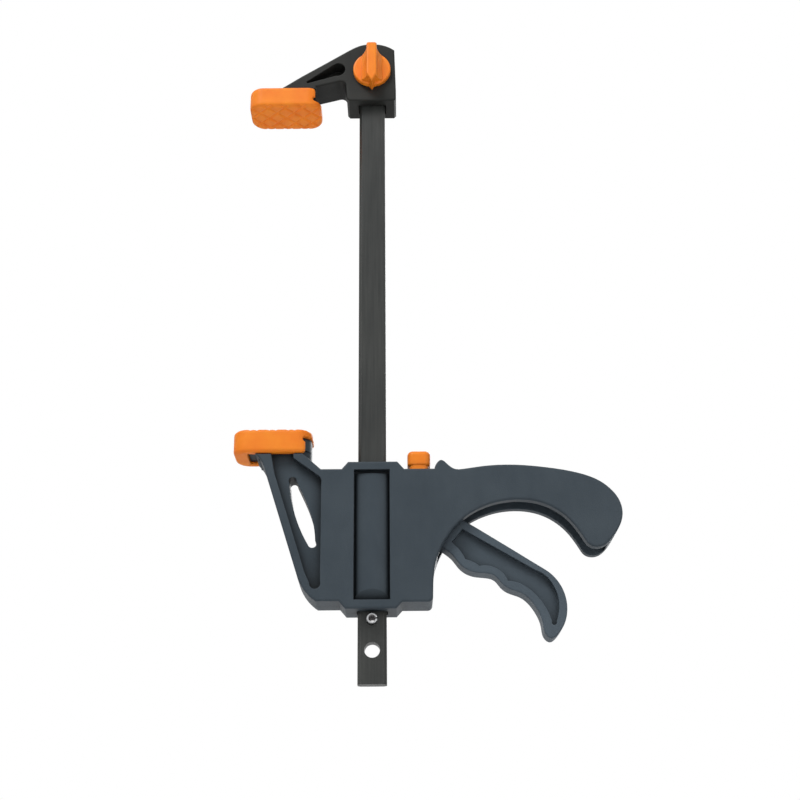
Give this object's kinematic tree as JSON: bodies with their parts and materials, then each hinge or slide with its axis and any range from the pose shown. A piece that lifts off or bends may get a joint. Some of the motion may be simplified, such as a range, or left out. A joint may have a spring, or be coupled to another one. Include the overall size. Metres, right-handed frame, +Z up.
{
  "type": "quick release bar clamp",
  "caption": "One-handed bar clamp: flat bar with a fixed jaw, and a carriage with a moving jaw, pistol handle, trigger and release button.",
  "frame": {"origin": "on the fixed pad's clamping face, in the diamond just right of its middle", "axes": "+X toward the handle, +Y to the back, +Z up along the bar toward the fixed jaw"},
  "size_m": [0.1054, 0.0177, 0.1955],
  "materials": {
    "black_steel": "blackened satin",
    "bright_steel": "bright",
    "plate_steel": "stamped",
    "spring_steel": "drawn wire",
    "body_plastic": "fine moulded grain",
    "jaw_plastic": "fine moulded grain",
    "trigger_plastic": "fine moulded grain",
    "knob_plastic": "smooth moulded",
    "pad_rubber": "soft moulded, diamond grooves"
  },
  "bodies": {
    "clamp_bar": {"bar": "black_steel", "bar_stop_pin": "bright_steel", "fixed_jaw": "jaw_plastic", "fixed_jaw_pad": "pad_rubber"},
    "knob": {"jaw_knob": "knob_plastic"},
    "carriage": {"body_front_shell": "body_plastic", "body_rear_shell": "body_plastic", "shell_screws": "bright_steel", "moving_jaw_pad": "pad_rubber", "trigger_pivot_pin": "bright_steel", "drive_spring": "spring_steel", "brake_spring": "spring_steel"},
    "trigger": {"trigger": "trigger_plastic"},
    "drive": {"drive_plate": "plate_steel"},
    "brake": {"brake_lever": "plate_steel", "release_button": "knob_plastic"}
  },
  "joints": [
    {"name": "carriage_slide", "type": "slide", "parent": "clamp_bar", "child": "carriage", "axis": [0, 0, 1], "range_m": [0, 0.1033]},
    {"name": "knob_turn", "type": "hinge", "parent": "clamp_bar", "child": "knob", "pos_m": [0.02365, 0, 0.01315], "axis": [0, -1, 0], "range_deg": [0, 90]},
    {"name": "trigger_pull", "type": "hinge", "parent": "carriage", "child": "trigger", "pos_m": [0.03965, 0, -0.1298], "axis": [0, -1, 0], "range_deg": [0, 24]},
    {"name": "drive_slide", "type": "slide", "parent": "carriage", "child": "drive", "axis": [0, 0, -1], "range_m": [0, 0.0029], "stiffness_N_per_m": 300, "springref_m": -0.002, "deforming": ["drive_spring"]},
    {"name": "release_press", "type": "hinge", "parent": "carriage", "child": "brake", "pos_m": [0.01475, 0, -0.1207], "axis": [0, 1, 0], "range_deg": [0, 6.5], "stiffness_Nm_per_rad": 0.1, "springref_deg": -11.46, "deforming": ["brake_spring"]}
  ],
  "couplings": [
    {"joint": "trigger_pull", "follows": "drive_slide", "rad_per_m": 144.4}
  ]
}
